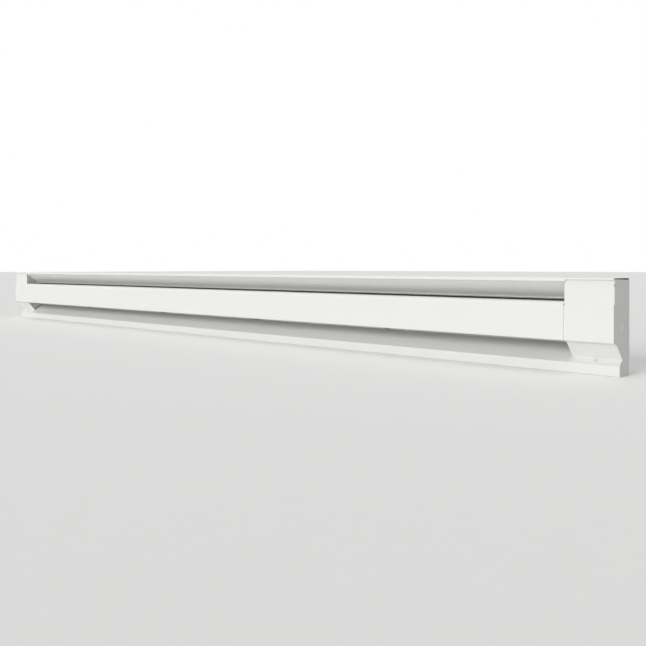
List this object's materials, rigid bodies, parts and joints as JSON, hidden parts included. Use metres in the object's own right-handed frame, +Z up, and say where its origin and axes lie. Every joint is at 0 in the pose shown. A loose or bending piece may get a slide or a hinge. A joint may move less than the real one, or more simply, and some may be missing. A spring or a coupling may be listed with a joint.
{
  "type": "electric baseboard heater",
  "caption": "Long low white sheet-steel electric baseboard heater with a finned element, hinged front panel, top air outlet, wiring covers and a raked kick base.",
  "frame": {"origin": "on the floor under the middle of the casing's box, half the depth in front of the wall", "axes": "+X along the heater towards its right-hand end, front faces -Y, wall plane is +Y, +Z up"},
  "size_m": [2.438, 0.065, 0.178],
  "materials": {
    "white_enamel": "baked white powder coat, semi-gloss",
    "plate_enamel": "the same powder coat, thicker on the pressed edges",
    "deflector_enamel": "smooth white powder coat, clean inside the outlet",
    "galvanised_steel": "hot-dip galvanised sheet, dull spangle",
    "aluminised_steel": "aluminised sheet, soft sheen",
    "fin_aluminium": "mill-finish aluminium foil stock",
    "sheath_steel": "annealed stainless tube, heat-dulled",
    "packed_oxide": "compacted magnesium oxide powder",
    "resistance_alloy": "nickel-chromium wire",
    "copper_tube": "drawn copper capillary",
    "nickel_pin": "nickel-plated steel pin",
    "white_ceramic": "unglazed steatite",
    "black_nylon": "moulded nylon",
    "black_phenolic": "moulded phenolic",
    "brass_blade": "stamped brass",
    "zinc_plate": "bright zinc plate",
    "rivet_steel": "plain steel rivet",
    "clear_nylon": "natural nylon closed-end splice",
    "black_insulation": "high-temperature silicone insulation",
    "green_screw": "green dyed zinc"
  },
  "bodies": {
    "casing": {"air_deflector": "deflector_enamel", "back_panel": "white_enamel", "bracket_bushings": "white_ceramic", "bracket_rivets": "rivet_steel", "bulkhead_bushings": "white_ceramic", "bulkhead_rivets": "rivet_steel", "capillary_clips": "black_nylon", "element_bracket_1": "galvanised_steel", "element_bracket_2": "galvanised_steel", "element_bracket_3": "galvanised_steel", "element_bracket_4": "galvanised_steel", "element_core": "packed_oxide", "element_sheath": "sheath_steel", "end_plate_rivets": "rivet_steel", "fin_bank_1": "fin_aluminium", "fin_bank_2": "fin_aluminium", "fin_bank_3": "fin_aluminium", "fin_bank_4": "fin_aluminium", "fin_bank_5": "fin_aluminium", "ground_screws": "green_screw", "heat_shield": "aluminised_steel", "left_bulkhead": "white_enamel", "left_cover_screw": "zinc_plate", "left_end_plate": "plate_enamel", "left_end_seal": "white_ceramic", "left_lead": "black_insulation", "left_terminal_pin": "nickel_pin", "left_wiring_cover": "white_enamel", "limit_capillary": "copper_tube", "limit_switch": "black_phenolic", "resistance_wire": "resistance_alloy", "return_wire": "black_insulation", "right_bulkhead": "white_enamel", "right_cover_screw": "zinc_plate", "right_end_plate": "plate_enamel", "right_end_seal": "white_ceramic", "right_lead": "black_insulation", "right_terminal_pin": "nickel_pin", "right_wiring_cover": "white_enamel", "switch_blades": "brass_blade", "wire_splices": "clear_nylon"},
    "panel": {"front_panel": "white_enamel"}
  },
  "joints": [
    {"name": "panel_swing", "type": "hinge", "parent": "casing", "child": "panel", "pos_m": [0, -0.0235, 0.125], "axis": [-1, 0, 0], "range_deg": [0, 40]}
  ]
}
